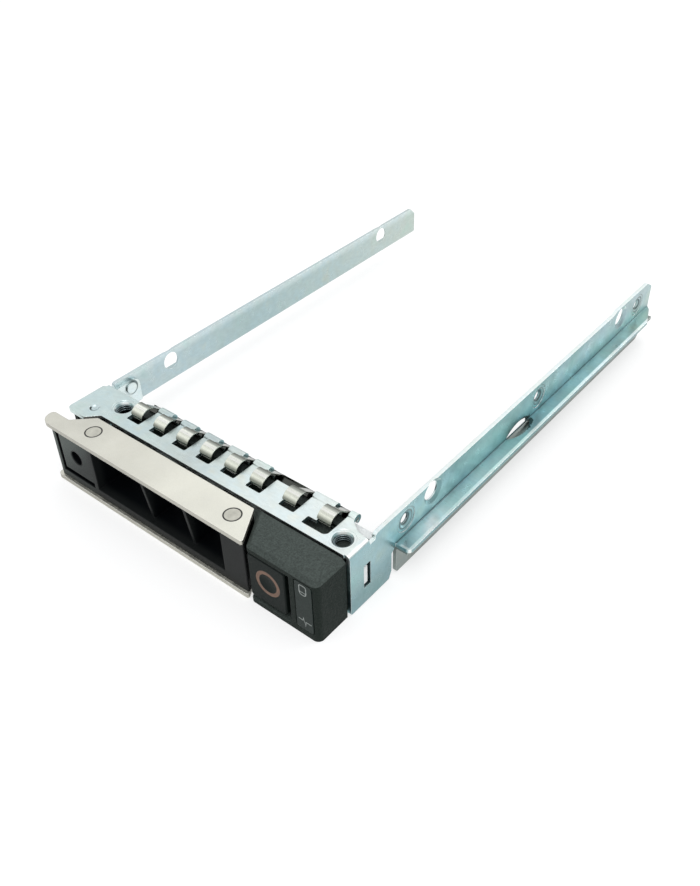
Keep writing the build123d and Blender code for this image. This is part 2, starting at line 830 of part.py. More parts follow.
def handle_bottom_plate():
    """Steel plate under the handle."""
    low = -handle_bottom
    body = flat(handle_outline(handle_bottom_left, 1.0), low, low + handle_plate)
    for x in rivet_xs:
        body -= upright(x, rivet_y, rivet_head / 2, low, low + rivet_head_depth)
    return riveted(body, low, low + handle_plate)


def handle_rivets():
    """Two flush rivets that clamp the insert between the plates."""
    rivets = []
    low = -handle_bottom
    for x in rivet_xs:
        rivet = upright(x, rivet_y, rivet_shank / 2, low, 0)
        rivet += upright(x, rivet_y, rivet_head / 2, -rivet_head_depth, 0)
        rivet += upright(x, rivet_y, rivet_head / 2, low, low + rivet_head_depth)
        rivets.append(rivet)
    return rivets


def hinge_arm(low, high):
    """Arm from the insert to the hinge pin, with its round knuckle."""
    reach = handle_rear - 1.2
    arm = flat([
        (pin_x + 0.3, pin_y - 1.5, 0),
        (pin_x + 0.3, pin_y - 5.6, 0),
        (handle_slope_x + 1.5, reach - 1.0, 0),
        (handle_slope_x + 1.5, reach, 0),
        (pin_x + 2.2, pin_y - 0.4, 0),
    ], low, high)
    return arm + upright(pin_x, pin_y, knuckle_radius, low, high)


def handle_insert():
    """Black moulding between the plates: open ducts, two raked vanes, panel and hinge arms."""
    low = -handle_bottom + handle_plate
    high = -handle_plate
    rear = handle_rear - 0.1
    body = flat([
        (insert_left, handle_notch_y - 0.1, 0.3),
        (handle_notch_x, handle_notch_y - 0.1, 0.3),
        (handle_slope_x, rear, 0.3),
        (handle_right_rear - 0.2, rear, 0),
        (handle_right_front - 0.5, insert_front, 0.2),
        (insert_left, insert_front, 0.3),
    ], low, high)
    body -= slab((duct_left, duct_right), (insert_front - 1, 1), (-duct_bottom, -duct_top))
    for x in vane_positions:
        body += across([
            (insert_front + 0.1, -duct_top, 0),
            (insert_front + 0.1 + vane_rake, -duct_bottom, 0),
            (rear, -duct_bottom, 0),
            (rear, -duct_top, 0),
        ], x, x + vane_thickness)
    groove_rear = insert_front + groove_depth
    body -= slab((groove_left, groove_left + groove_width), (insert_front - 1, groove_rear),
                 (-groove_bottom, -groove_top))
    body -= slab((groove_left, groove_right), (insert_front - 1, groove_rear),
                 (-groove_bottom, -groove_bottom + groove_run))
    body -= forward(recess_x, -recess_drop, recess_radius, insert_front, insert_front + recess_depth)
    body += hinge_arm(-knuckle_top - knuckle_height, -knuckle_top)
    body += hinge_arm(-fork_bottom, -fork_bottom + knuckle_height)
    keeper_rear = keeper_front + keeper_thickness
    body += slab((handle_right_rear - 1, keeper_tip), (keeper_front, keeper_rear),
                 (-keeper_top - keeper_height, -keeper_top))
    body = riveted(body, low, high)
    body -= upright(pin_x, pin_y, pin_diameter / 2 + running_gap, -fork_bottom, -knuckle_top)
    return body


def recess_screw():
    """Small button headed screw at the bottom of the round recess."""
    seat = insert_front + recess_depth
    head = forward(recess_x, -recess_drop, 1.5, seat - 0.9, seat)
    return head - forward(recess_x, -recess_drop, 0.6, seat - 0.9, seat - 0.4)


def pivot_pin():
    """Hinge pin of the handle, flush in the top plate and the floor, with a dished top."""
    rim = pin_diameter / 2 - 0.15
    ball = (rim ** 2 + pin_dish ** 2) / (2 * pin_dish)
    pin = upright(pin_x, pin_y, pin_diameter / 2, floor_bottom, 0)
    return pin - Pos(pin_x, pin_y, ball - pin_dish) * Sphere(ball)


def handle_spring():
    """Torsion spring wound round the hinge pin between the two knuckles."""
    wire = 0.5
    low = -fork_bottom + knuckle_height + wire
    high = -knuckle_top - knuckle_height - wire
    return coil((pin_x, pin_y, low), (0, 0, 1), pin_diameter / 2 + 0.35 + wire / 2, wire, high - low, 4)


nodes = {
    "frame_sheet": frame_sheet,
    "left_rail": left_rail,
    "cage_floor": cage_floor,
    "rail_rivet": rail_rivet,
    "right_lower_guide": lower_guide,
    "spring_strip": spring_strip,
    "front_housing": front_housing,
    "indicator_window": indicator_window,
    "upper_light_guide": lambda: light_guide(guide_drops[0]),
    "lower_light_guide": lambda: light_guide(guide_drops[1]),
    "release_button": release_button,
    "button_ring": button_ring,
    "button_spring": button_spring,
    "latch_lever": latch_lever,
    "latch_pin": latch_pin,
    "handle_top_plate": handle_top_plate,
    "handle_bottom_plate": handle_bottom_plate,
    "handle_insert": handle_insert,
    "handle_rivets": handle_rivets,
    "recess_screw": recess_screw,
    "pivot_pin": pivot_pin,
    "handle_spring": handle_spring,
}

middle_y = (handle_front + rail_end) / 2
to_origin = Pos(0, -middle_y, housing_bottom)
os.makedirs("parts", exist_ok=True)
for name, make in nodes.items():
    made = make()
    pieces = made if isinstance(made, list) else [made]
    solids = [solid for piece in pieces for solid in piece.solids()]
    export_step(to_origin * Compound(children=solids), "parts/" + name + ".step")
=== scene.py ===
import math

import bmesh
import bpy
from mathutils import Matrix, Vector


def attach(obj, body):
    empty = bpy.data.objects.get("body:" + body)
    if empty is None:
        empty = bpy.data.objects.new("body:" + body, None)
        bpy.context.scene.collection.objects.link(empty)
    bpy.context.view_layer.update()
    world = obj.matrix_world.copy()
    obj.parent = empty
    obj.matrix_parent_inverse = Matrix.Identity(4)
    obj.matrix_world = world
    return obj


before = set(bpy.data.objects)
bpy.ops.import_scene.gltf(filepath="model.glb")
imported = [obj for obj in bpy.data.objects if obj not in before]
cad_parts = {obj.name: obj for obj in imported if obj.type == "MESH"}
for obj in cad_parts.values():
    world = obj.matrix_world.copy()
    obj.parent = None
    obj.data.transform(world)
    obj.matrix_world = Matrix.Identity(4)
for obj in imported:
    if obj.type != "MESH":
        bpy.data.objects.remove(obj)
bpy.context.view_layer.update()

# The drawing's own places are millimetres from the front edge of the top plate
MM = 0.001
MIDDLE_Y = 54.415
BASE = 14.7

LEFT_COLLAR = (-26.95, 4.6)
RIGHT_COLLAR = (32.1, 2.9)
COLLAR_BORE = 3.3
COLLAR_DEPTH = 2.2
HINGE = (-31.6, 0.9)
DIMPLES = (16.1, 63.1, 110.1)
DIMPLE_Z = -3.25
TAB_RIVET = (12.3, -2.6)
RECESS = (-28.45, -6.2)
LENS = (35.85, 55.04, -6.9)
LENS_REACH = (1.7, 4.6, 1.7)
SHELF_FRONT = 13.0
RIVETS = ((-25.4, -4.35), (12.95, -4.35))
FACE_Y = -8.0
INK_DEPTH = 0.02
CORNER_STEPS = 5

# The side of the cage in the frame, in millimetres
RAIL_FRONT = -46.0
RAIL_RUN = 108.0
FOLD_HEIGHT = 7.9
RIM_START = 38.3

# Colours that several finishes share
# Painted highlight on the rims of the shelf
RIM_HIGHLIGHT = (0.95, 0.98, 0.95)
NICKEL_SHADOW = (0.02, 0.022, 0.02)

# The photograph's camera: place in metres, angles in degrees, lens and its
# centre in the photograph's pixels, sensor in millimetres
EYE = (0.10489, -0.135788, 0.126166)
TURN = 39.583
TILT = 38.298
ROLL = -1.266
PHOTO_HEIGHT = 886
FOCAL_LENGTH = 919.30
CENTRE_OFF = (-4.47, -12.99)
SENSOR = 36.0


def drawn(x, y, z):
    """Place in the drawing, in millimetres, as a place in the frame."""
    return Vector((x * MM, (y - MIDDLE_Y) * MM, (z + BASE) * MM))


def add_object(name, data):
    """New object in the scene."""
    piece = bpy.data.objects.new(name, data)
    bpy.context.scene.collection.objects.link(piece)
    return piece


def set_stops(ramp, stops):
    """Give a colour ramp its places and colours, or greys."""
    ends = ramp.elements
    while len(ends) < len(stops):
        ends.new(0.5)
    for end, (place, colour) in zip(ends, stops):
        if not isinstance(colour, tuple):
            colour = (colour, colour, colour)
        end.position = place
        end.color = (*colour, 1.0)


# Finishes

class Finish:
    """A node material being put together, with its pattern measured in millimetres."""

    def __init__(self, name, colour, metallic, roughness):
        self.material = bpy.data.materials.new(name)
        self.material.use_nodes = True
        self.tree = self.material.node_tree
        self.tree.nodes.clear()
        out = self.tree.nodes.new("ShaderNodeOutputMaterial")
        self.shader = self.tree.nodes.new("ShaderNodeBsdfPrincipled")
        self.join(self.shader.outputs["BSDF"], out.inputs["Surface"])
        self.socket("Base Color", (*colour, 1.0))
        self.socket("Metallic", metallic)
        self.socket("Roughness", roughness)
        coordinates = self.tree.nodes.new("ShaderNodeTexCoord")
        scale = self.tree.nodes.new("ShaderNodeMapping")
        scale.inputs["Scale"].default_value = (1 / MM, 1 / MM, 1 / MM)
        self.join(coordinates.outputs["Object"], scale.inputs["Vector"])
        self.place = scale.outputs["Vector"]
        apart = self.tree.nodes.new("ShaderNodeSeparateXYZ")
        self.join(self.place, apart.inputs["Vector"])
        self.x, self.y, self.z = (apart.outputs[axis] for axis in "XYZ")
        shape = self.tree.nodes.new("ShaderNodeNewGeometry")
        self.facing = shape.outputs["Normal"]

    def join(self, start, end):
        self.tree.links.new(start, end)

    def socket(self, name, value):
        self.shader.inputs[name].default_value = value

    def feed(self, name, output):
        self.join(output, self.shader.inputs[name])

    def colour_so_far(self):
        """Output that already feeds the colour."""
        return self.shader.inputs["Base Color"].links[0].from_socket

    def patchy_roughness(self, pattern, low, high):
        """Roughness that follows a noise pattern."""
        self.feed("Roughness", self.between(pattern, 0.3, 0.7, low, high))

    def put(self, socket, value):
        """Give an input a number, a colour or another node's output."""
        if isinstance(value, bpy.types.NodeSocket):
            self.join(value, socket)
        else:
            socket.default_value = value

    def stretched(self, scale):
        """The place in millimetres, with its axes stretched."""
        node = self.tree.nodes.new("ShaderNodeMapping")
        node.inputs["Scale"].default_value = scale
        self.join(self.place, node.inputs["Vector"])
        return node.outputs["Vector"]

    def noise(self, size, detail=3.0, stretch=(1, 1, 1)):
        """Noise whose blotches are about this many millimetres across."""
        node = self.tree.nodes.new("ShaderNodeTexNoise")
        node.inputs["Scale"].default_value = 1.0
        node.inputs["Detail"].default_value = detail
        node.inputs["Roughness"].default_value = 0.55
        self.join(self.stretched([part / size for part in stretch]), node.inputs["Vector"])
        return node.outputs["Fac"]

    def cells(self, size):
        """Distance to the nearest of many small points."""
        node = self.tree.nodes.new("ShaderNodeTexVoronoi")
        node.inputs["Scale"].default_value = 1.0
        self.join(self.stretched([1 / size] * 3), node.inputs["Vector"])
        return node.outputs["Distance"]

    def ramp(self, amount, stops):
        """Colour or grey that changes along an amount from 0 to 1."""
        node = self.tree.nodes.new("ShaderNodeValToRGB")
        set_stops(node.color_ramp, stops)
        self.put(node.inputs["Fac"], amount)
        return node.outputs["Color"]

    def between(self, amount, low, high, start=0.0, end=1.0):
        """Amount moved smoothly from one range to another, and held at its ends."""
        node = self.tree.nodes.new("ShaderNodeMapRange")
        node.interpolation_type = "SMOOTHSTEP"
        limits = {"From Min": low, "From Max": high, "To Min": start, "To Max": end}
        for name, value in limits.items():
            node.inputs[name].default_value = value
        self.put(node.inputs["Value"], amount)
        return node.outputs["Result"]

    def maths(self, operation, first, second=0.0):
        node = self.tree.nodes.new("ShaderNodeMath")
        node.operation = operation
        self.put(node.inputs[0], first)
        self.put(node.inputs[1], second)
        return node.outputs["Value"]

    def mix(self, amount, first, second, way="MIX"):
        """Two colours mixed by an amount."""
        node = self.tree.nodes.new("ShaderNodeMix")
        node.data_type = "RGBA"
        node.blend_type = way
        self.put(node.inputs["Factor"], amount)
        for socket, value in zip((node.inputs[6], node.inputs[7]), (first, second)):
            self.put(socket, (*value, 1.0) if isinstance(value, tuple) else value)
        return node.outputs[2]

    def facing_part(self, axis):
        """How much the surface faces one way."""
        apart = self.tree.nodes.new("ShaderNodeSeparateXYZ")
        self.join(self.facing, apart.inputs["Vector"])
        return apart.outputs[axis]

    def away(self, axes, centre, sizes=(1.0, 1.0, 1.0)):
        """Distance from a centre along two or three axes, each in units of its size."""
        total = 0.0
        for axis, middle, size in zip(axes, centre, sizes):
            step = self.maths("DIVIDE", self.maths("SUBTRACT", axis, middle), size)
            total = self.maths("ADD", self.maths("POWER", step, 2), total)
        return self.maths("SQRT", total)

    def ring(self, away, radius, half):
        """Narrow ring at a distance from an axis."""
        off = self.maths("ABSOLUTE", self.maths("SUBTRACT", away, radius))
        return self.between(off, half * 0.5, half * 1.5, 1.0, 0.0)

    def seat_ring(self, x, y, radius, half):
        """Narrow ring round an upright axis of the drawing."""
        place = drawn(x, y, 0) / MM
        return self.ring(self.away((self.x, self.y), (place.x, place.y)), radius, half)

    def times(self, *amounts):
        """Product of several amounts."""
        product = amounts[0]
        for amount in amounts[1:]:
            product = self.maths("MULTIPLY", product, amount)
        return product

    def soft_edges(self, radius):
        """Normal of edges that are rounded a little."""
        node = self.tree.nodes.new("ShaderNodeBevel")
        node.samples = 6
        node.inputs["Radius"].default_value = radius * MM
        return node.outputs["Normal"]

    def edge_mask(self, soft):
        """How near the surface is to an edge."""
        node = self.tree.nodes.new("ShaderNodeVectorMath")
        node.operation = "DOT_PRODUCT"
        self.join(soft, node.inputs[0])
        self.join(self.facing, node.inputs[1])
        return self.between(node.outputs["Value"], 0.80, 0.995, 1.0, 0.0)

    def bump(self, height, strength, distance, under=None):
        """Fine relief, on top of a normal that is given."""
        node = self.tree.nodes.new("ShaderNodeBump")
        node.inputs["Strength"].default_value = strength
        node.inputs["Distance"].default_value = distance * MM
        self.join(height, node.inputs["Height"])
        if under is not None:
            self.join(under, node.inputs["Normal"])
        return node.outputs["Normal"]


def passivated(finish, colour, edge_colour, grain=(1, 1, 1), inner_fold_shade=None):
    """Finish a bright zinc sheet: cloudy passivation, rolled grain, edges painted in an edge
    colour (pale: edge highlight, partly wear; dark: edge shade), painted shade in an inner fold.
    """
    soft = finish.soft_edges(0.14)
    edge = finish.edge_mask(soft)
    # Painted shade in the crease of an inner fold, with no edge colour there.
    if inner_fold_shade is not None:
        edge = finish.times(edge, finish.maths("SUBTRACT", 1.0, inner_fold_shade))
        colour = finish.mix(finish.times(inner_fold_shade, 0.8), colour, (0.05, 0.10, 0.11))
    cloud = finish.noise(7.0, 4.0)
    hue = finish.ramp(cloud, [
        (0.30, (0.93, 1.02, 1.00)),
        (0.45, (1.00, 1.00, 1.00)),
        (0.58, (0.97, 1.01, 1.05)),
        (0.72, (1.05, 1.00, 0.95)),
    ])
    colour = finish.mix(1.0, colour, hue, "MULTIPLY")
    rolled = finish.noise(0.5, 4.0, grain)
    streak = finish.ramp(rolled, [(0.3, 0.94), (0.7, 1.04)])
    colour = finish.mix(1.0, colour, streak, "MULTIPLY")
    # Edges in the edge colour: a pale one is painted edge highlight and partly wear, a dark one is
    # painted edge shade.
    colour = finish.mix(finish.maths("MULTIPLY", edge, 0.7), colour, edge_colour)
    finish.feed("Base Color", colour)
    finish.patchy_roughness(finish.noise(2.2, 5.0), 0.26, 0.42)
    fine = finish.noise(0.12, 3.0, grain)
    finish.feed("Normal", finish.bump(fine, 0.25, 0.02, soft))
    return finish.material


def dimple_shade_rings(finish, colour):
    """Painted shade: dark rings round the small dimples in a rail."""
    for y in DIMPLES:
        place = drawn(0, y, DIMPLE_Z) / MM
        away = finish.away((finish.y, finish.z), (place.y, place.z))
        for radius, half, depth in ((1.15, 0.2, 0.8), (1.9, 0.18, 0.75), (2.6, 0.12, 0.5)):
            amount = finish.times(finish.ring(away, radius, half), depth)
            colour = finish.mix(amount, colour, (0.07, 0.09, 0.09))
    return colour


def lens_shade(finish, colour):
    """Painted shadow of the torn edge along the rear half of the lens opening."""
    place = drawn(*LENS) / MM
    away = finish.away((finish.x, finish.y, finish.z), place, LENS_REACH)
    ragged = finish.between(finish.noise(0.8, 3.0), 0.3, 0.7, -0.12, 0.12)
    torn = finish.maths("ADD", away, ragged)
    rear = finish.between(finish.y, place.y - 0.5, place.y + 0.8)
    amount = finish.times(finish.between(torn, 1.08, 1.15, 0.92, 0.0), rear)
    return finish.mix(amount, colour, (0.02, 0.04, 0.04))


def bore_shade(finish, colour):
    """Painted shade inside the two threaded collars."""
    wall = COLLAR_BORE / 2
    below = finish.between(finish.z, BASE - 0.8, BASE - 0.4, 1.0, 0.0)
    for x, y in (LEFT_COLLAR, RIGHT_COLLAR):
        place = drawn(x, y, 0) / MM
        away = finish.away((finish.x, finish.y), (place.x, place.y))
        inside = finish.between(away, wall + 0.12, wall + 0.3, 1.0, 0.0)
        colour = finish.mix(finish.times(inside, below), colour, (0.05, 0.08, 0.085))
    return colour


def plate_tone(finish):
    """Pale top plate, brighter towards the right."""
    return finish.ramp(finish.between(finish.x, -38.0, 37.0), [
        (0.0, (0.60, 0.70, 0.68)),
        (0.30, (0.60, 0.68, 0.66)),
        (0.42, (0.58, 0.64, 0.62)),
        (0.57, (0.70, 0.77, 0.74)),
        (0.72, (0.80, 0.87, 0.84)),
        (1.0, (0.88, 0.94, 0.91)),
    ])


def wall_tone(finish, along):
    """Teal upright wall of the rail, with a violet bloom towards its rear end."""
    wall = finish.ramp(along, [
        (0.0, (0.32, 0.47, 0.48)),
        (0.10, (0.25, 0.40, 0.41)),
        (0.22, (0.15, 0.29, 0.30)),
        (0.32, (0.21, 0.37, 0.37)),
        (0.50, (0.19, 0.33, 0.33)),
        (0.66, (0.24, 0.38, 0.38)),
        (0.95, (0.39, 0.52, 0.49)),
    ])
    clouds = finish.between(finish.noise(16.0, 2.0), 0.4, 0.6)
    bloom = finish.times(clouds, finish.between(along, 0.5, 0.6))
    return finish.mix(finish.times(bloom, 0.35), wall, (0.36, 0.42, 0.50))


def shelf_tone(finish, along):
    """Teal shelf with a painted highlight near its front end."""
    return finish.ramp(along, [
        (0.06, (0.50, 0.66, 0.68)),
        # Painted highlight patch near the front end of the shelf.
        (0.126, (0.92, 0.98, 0.96)),
        (0.20, (0.66, 0.74, 0.74)),
        (0.45, (0.30, 0.45, 0.47)),
        (0.95, (0.37, 0.50, 0.46)),
    ])


def shelf_rim_highlights(finish, rail, flat, behind, front):
    """Painted highlight along the rounded outer edge and the front corner of the shelf."""
    outer = finish.between(finish.x, RIM_START, RIM_START + 0.3, 0.0, 0.9)
    rail = finish.mix(finish.times(outer, flat), rail, RIM_HIGHLIGHT)
    at_front = finish.between(finish.y, front + 0.35, front + 0.75, 0.9, 0.0)
    corner = finish.times(at_front, behind, finish.between(finish.x, 36.5, 37.0))
    return finish.mix(corner, rail, RIM_HIGHLIGHT)


def rail_tone(finish, along, behind, front):
    """Rail and shelf: darker at the foot, with painted shade towards the fold between them."""
    flat = finish.between(finish.facing_part("Z"), 0.5, 0.8)
    rail = finish.mix(flat, wall_tone(finish, along), shelf_tone(finish, along))
    foot = finish.between(finish.z, 2.0, 10.0, 0.6, 0.0)
    rail = finish.mix(foot, rail, (0.13, 0.23, 0.24))
    above = finish.maths("ABSOLUTE", finish.maths("SUBTRACT", finish.z, FOLD_HEIGHT))
    upright = finish.maths("SUBTRACT", 1.0, flat)
    near_fold = finish.between(above, 0.1, 2.4, 0.28, 0.0)
    wall_shade = finish.times(near_fold, upright, behind)
    shelf_shade = finish.times(finish.between(finish.x, 36.0, 37.3, 0.30, 0.0), flat)
    # Painted shade on the wall and the shelf near the fold.
    rail = finish.mix(finish.maths("ADD", wall_shade, shelf_shade), rail, (0.12, 0.24, 0.26))
    rail = shelf_rim_highlights(finish, rail, flat, behind, front)
    return lens_shade(finish, dimple_shade_rings(finish, rail))


def top_bend_highlight(finish):
    """Where the top plate bends over into the side, for a painted highlight along the bend."""
    turn = finish.maths("ABSOLUTE", finish.maths("SUBTRACT", finish.facing_part("X"), 0.55))
    turned = finish.between(turn, 0.15, 0.4, 1.0, 0.0)
    return finish.times(turned, finish.between(finish.z, 13.2, 13.8))


def cage_zinc():
    """Bright zinc of the folded sheet: pale plate, teal rail, painted shade along the inner fold.
    """
    finish = Finish("bright_zinc_sheet", (0.6, 0.68, 0.7), 1.0, 0.32)
    along = finish.maths("DIVIDE", finish.maths("SUBTRACT", finish.y, RAIL_FRONT), RAIL_RUN)
    fold = drawn(LENS[0], SHELF_FRONT, LENS[2]) / MM
    behind = finish.between(finish.y, fold.y, fold.y + 0.2)
    rail = rail_tone(finish, along, behind, fold.y)
    outward = finish.between(finish.facing_part("X"), 0.3, 0.9)
    below = finish.between(finish.z, 12.0, 13.5, 1.0, 0.0)
    colour = finish.mix(finish.maths("MAXIMUM", outward, below), plate_tone(finish), rail)
    # Painted highlight along the bend of the top plate into the rail.
    colour = finish.mix(top_bend_highlight(finish), colour, (0.95, 0.97, 0.93))
    colour = bore_shade(finish, colour)
    away = finish.away((finish.x, finish.z), (fold.x, fold.z))
    fading = finish.between(along, 0.80, 0.98, 1.0, 0.4)
    # Painted shade along the crease of the inner fold, fading towards the rear end.
    inner_fold_shade = finish.times(finish.between(away, 0.15, 0.25, 1.0, 0.0), behind, fading)
    return passivated(finish, colour, (0.90, 0.94, 0.92), (0.35, 1, 0.6), inner_fold_shade)


def rail_zinc():
    """Bright zinc of the left rail, with a painted highlight along its top, paler towards its rear
    end.
    """
    finish = Finish("bright_zinc_rail", (0.6, 0.7, 0.72), 1.0, 0.3)
    colour = finish.ramp(finish.between(finish.y, RAIL_FRONT, RAIL_FRONT + RAIL_RUN), [
        (0.0, (0.48, 0.58, 0.59)),
        (0.3, (0.39, 0.50, 0.50)),
        (0.7, (0.43, 0.53, 0.52)),
        (1.0, (0.50, 0.57, 0.53)),
    ])
    # Painted highlight: a pale band along the top of the rail.
    top = finish.between(finish.z, 12.6, 14.6)
    colour = finish.mix(finish.times(top, 0.5), colour, (0.72, 0.80, 0.80))
    return passivated(finish, colour, (0.88, 0.92, 0.92), (1, 0.35, 0.8))


def floor_zinc():
    """Zinc of the cage floor with its tab, with painted shade along its edges and round the
    rivet's emboss.
    """
    finish = Finish("bright_zinc_floor", (0.5, 0.58, 0.6), 1.0, 0.36)
    colour = finish.ramp(finish.noise(10.0, 3.0), [
        (0.3, (0.68, 0.78, 0.77)),
        (0.7, (0.76, 0.84, 0.82)),
    ])
    place = drawn(0, *TAB_RIVET) / MM
    away = finish.away((finish.y, finish.z), (place.y, place.z))
    behind = finish.between(finish.y, place.y - 0.8, place.y + 0.8, 0.25, 0.9)
    # Painted shade: a dark crescent round the rivet's emboss, heavier towards the rear.
    outline = finish.times(finish.ring(away, 1.5, 0.28), behind)
    colour = finish.mix(outline, colour, (0.10, 0.14, 0.14))
    # Dark edge colour: painted shade along the edges of the tab.
    return passivated(finish, colour, (0.14, 0.18, 0.18), (1, 0.3, 1))


def guide_zinc():
    """Grey-brown zinc of the lower guide, darkened as painted shade under the shelf."""
    finish = Finish("guide_zinc_painted_shade", (0.27, 0.27, 0.24), 1.0, 0.4)
    # Dark grey-brown: painted shade under the shelf.
    colour = finish.ramp(finish.noise(8.0, 3.0), [
        (0.3, (0.22, 0.25, 0.23)),
        (0.7, (0.31, 0.35, 0.33)),
    ])
    return passivated(finish, colour, (0.62, 0.66, 0.63), (1, 0.3, 1))


def sprung_nickel():
    """Pale polished nickel of the grounding springs, with painted highlight and shade bands along
    each arch, and painted shade under the arches and below the plate.
    """
    finish = Finish("sprung_nickel", (0.72, 0.66, 0.58), 1.0, 0.2)
    soft = finish.soft_edges(0.05)
    # Painted highlight and shade bands that follow how each arch faces.
    highlight_lean = finish.between(finish.facing_part("Y"), 0.4, -1.0)
    tone = finish.ramp(highlight_lean, [
        (0.0, (0.26, 0.27, 0.24)),
        (0.16, (0.38, 0.40, 0.36)),
        (0.30, (0.95, 0.97, 0.88)),
        (0.55, (1.0, 1.0, 0.95)),
        (0.64, (0.84, 0.86, 0.76)),
        (0.85, (0.76, 0.78, 0.68)),
        (0.95, (0.52, 0.54, 0.46)),
        (1.0, (0.32, 0.34, 0.29)),
    ])
    cloud = finish.ramp(finish.noise(0.5, 3.0), [(0.3, 0.94), (0.7, 1.04)])
    tone = finish.mix(1.0, tone, cloud, "MULTIPLY")
    # Painted shade on the strip below the top of the plate, inboard of the rail.
    inboard = finish.between(finish.x, 30.0, 31.0, 1.0, 0.0)
    sunk_shade = finish.times(finish.between(finish.z, 14.1, 14.5, 0.9, 0.0), inboard)
    tone = finish.mix(sunk_shade, tone, NICKEL_SHADOW)
    # Painted shade on the undersides of the arches.
    under = finish.between(finish.facing_part("Z"), -0.5, -0.1, 0.85, 0.0)
    tone = finish.mix(under, tone, NICKEL_SHADOW)
    finish.feed("Base Color", tone)
    drawn_lines = finish.noise(0.12, 4.0, (0.12, 1, 1))
    finish.patchy_roughness(drawn_lines, 0.16, 0.26)
    finish.feed("Normal", finish.bump(drawn_lines, 0.05, 0.01, soft))
    return finish.material


def handle_steel():
    """Warm satin steel of the handle plates, with painted shade on upright faces and in the rivet
    seats, and pale edges as painted edge highlight, partly wear.
    """
    finish = Finish("satin_handle_steel", (0.66, 0.64, 0.58), 1.0, 0.4)
    soft = finish.soft_edges(0.22)
    edge = finish.edge_mask(soft)
    cloud = finish.ramp(finish.noise(9.0, 4.0), [(0.3, 0.95), (0.7, 1.05)])
    tone = finish.ramp(finish.between(finish.x, -36.0, 16.0), [
        (0.0, (0.68, 0.67, 0.60)),
        (0.4, (0.75, 0.74, 0.66)),
        (1.0, (0.86, 0.85, 0.76)),
    ])
    tone = finish.mix(1.0, tone, cloud, "MULTIPLY")
    grit = finish.ramp(finish.noise(0.16, 3.0), [(0.3, 0.93), (0.7, 1.05)])
    tone = finish.mix(1.0, tone, grit, "MULTIPLY")
    # Painted shade: upright faces darker than the level ones.
    level = finish.maths("ABSOLUTE", finish.facing_part("Z"))
    upright = finish.between(level, 0.3, 0.8, 0.55, 0.0)
    tone = finish.mix(upright, tone, (0.22, 0.21, 0.18))
    # Pale edges: painted edge highlight, partly wear.
    tone = finish.mix(finish.maths("MULTIPLY", edge, 0.6), tone, (0.86, 0.85, 0.82))
    # Dark seat line round each rivet: painted shade in the joint.
    for x, y in RIVETS:
        tone = finish.mix(finish.seat_ring(x, y, 1.66, 0.14), tone, (0.02, 0.02, 0.02))
    finish.feed("Base Color", tone)
    finish.patchy_roughness(finish.noise(1.6, 4.0), 0.36, 0.50)
    finish.feed("Normal", finish.bump(finish.noise(0.14, 3.0), 0.22, 0.02, soft))
    return finish.material


def moulded(name, colour, roughness, texture, relief, gloss=0.2):
    """Black moulding with the fine pitted texture of its tool."""
    finish = Finish(name, colour, 0.0, roughness)
    soft = finish.soft_edges(0.25)
    edge = finish.edge_mask(soft)
    pits = finish.cells(texture)
    grain = finish.noise(texture * 1.5, 3.0)
    tone = finish.mix(finish.ramp(grain, [(0.35, 0.0), (0.65, 1.0)]), colour,
                      tuple(part * 1.7 for part in colour))
    # Lighter edges: painted edge highlight, partly wear.
    tone = finish.mix(finish.maths("MULTIPLY", edge, 0.35), tone, (0.05, 0.054, 0.054))
    finish.feed("Base Color", tone)
    finish.patchy_roughness(grain, roughness - 0.07, roughness + 0.08)
    finish.feed("Normal", finish.bump(pits, relief, 0.09, soft))
    finish.socket("Specular IOR Level", gloss)
    return finish


def housing_plastic():
    """Charcoal of the front housing, with painted shade on its upright faces and painted highlight
    on its snap lug and the top of its beam's end.
    """
    finish = moulded("charcoal_housing", (0.038, 0.047, 0.043), 0.6, 0.22, 1.0, 0.13)
    colour = finish.colour_so_far()
    # Painted shade: upright faces darker than the top.
    upright = finish.between(finish.facing_part("Z"), 0.2, 0.8, 1.0, 0.0)
    colour = finish.mix(upright, colour, (0.006, 0.012, 0.009))
    beam_end = finish.times(
        finish.between(finish.x, 29.0, 29.3),
        finish.between(finish.y, -47.4, -47.1),
        finish.between(finish.facing_part("Z"), 0.7, 0.9),
    )
    lug = finish.times(
        finish.between(finish.x, 35.2, 35.45),
        finish.between(finish.y, -52.0, -51.0),
    )
    # Painted highlight on the snap lug and the top of the beam's end.
    pale = finish.maths("MAXIMUM", lug, beam_end)
    finish.feed("Base Color", finish.mix(pale, colour, (0.75, 0.77, 0.77)))
    return finish.material


